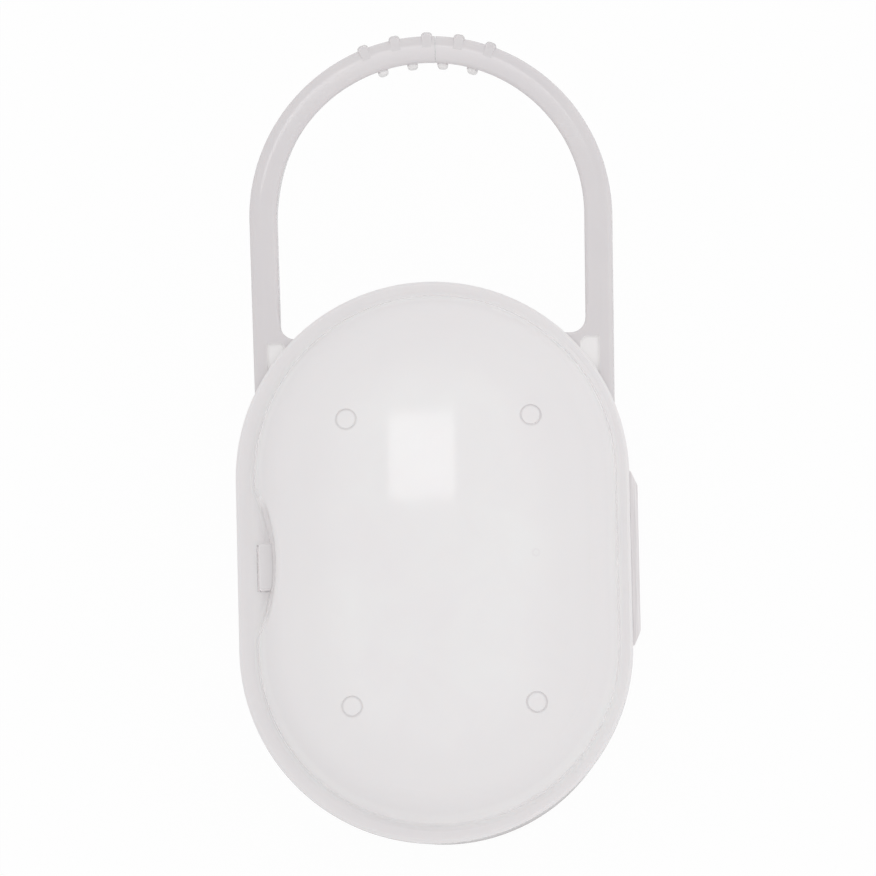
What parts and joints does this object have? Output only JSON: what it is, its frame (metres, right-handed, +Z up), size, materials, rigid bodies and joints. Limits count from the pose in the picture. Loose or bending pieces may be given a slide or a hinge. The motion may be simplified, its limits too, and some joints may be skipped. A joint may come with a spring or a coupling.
{
  "type": "pacifier sterilizer case",
  "caption": "Oblong two-shell pacifier sterilizing and carrying case with a living hinge, a side snap catch and a ribbed split carrying loop.",
  "frame": {"origin": "on the resting plane, straight under the centre of the rim's oblong outline", "axes": "+Z up through the lid, +Y along the case towards the hanger loop, +X towards the living hinge, -X towards the snap catch"},
  "size_m": [0.0718, 0.1463, 0.046],
  "materials": {
    "lid_polypropylene": "fine satin, milky natural polypropylene",
    "base_polypropylene": "fine satin, milky natural polypropylene",
    "hinge_polypropylene": "thin drawn film, slightly clearer",
    "hanger_polypropylene": "satin, thick section"
  },
  "bodies": {
    "base": {"base_shell": "base_polypropylene", "living_hinge": "hinge_polypropylene"},
    "lid": {"lid_shell": "lid_polypropylene"},
    "catch": {"catch_tongue": "base_polypropylene"},
    "hanger_left": {"hanger_arm_left": "hanger_polypropylene"},
    "hanger_right": {"hanger_arm_right": "hanger_polypropylene"}
  },
  "joints": [
    {"name": "lid_hinge", "type": "hinge", "parent": "base", "child": "lid", "pos_m": [0.03595, 0, 0.033], "axis": [0, 1, 0], "range_deg": [0, 180]},
    {"name": "catch_flex", "type": "hinge", "parent": "base", "child": "catch", "pos_m": [-0.03124, -0.0004, 0.026], "axis": [0, -1, 0], "range_deg": [0, 2.4], "stiffness_Nm_per_rad": 0.9},
    {"name": "hanger_left_flex", "type": "hinge", "parent": "base", "child": "hanger_left", "pos_m": [-0.0317, 0.0475, 0.02975], "axis": [0, 0, 1], "range_deg": [0, 6], "stiffness_Nm_per_rad": 5.5},
    {"name": "hanger_right_flex", "type": "hinge", "parent": "base", "child": "hanger_right", "pos_m": [0.03294, 0.0475, 0.02975], "axis": [0, 0, -1], "range_deg": [0, 6], "stiffness_Nm_per_rad": 5.5}
  ]
}
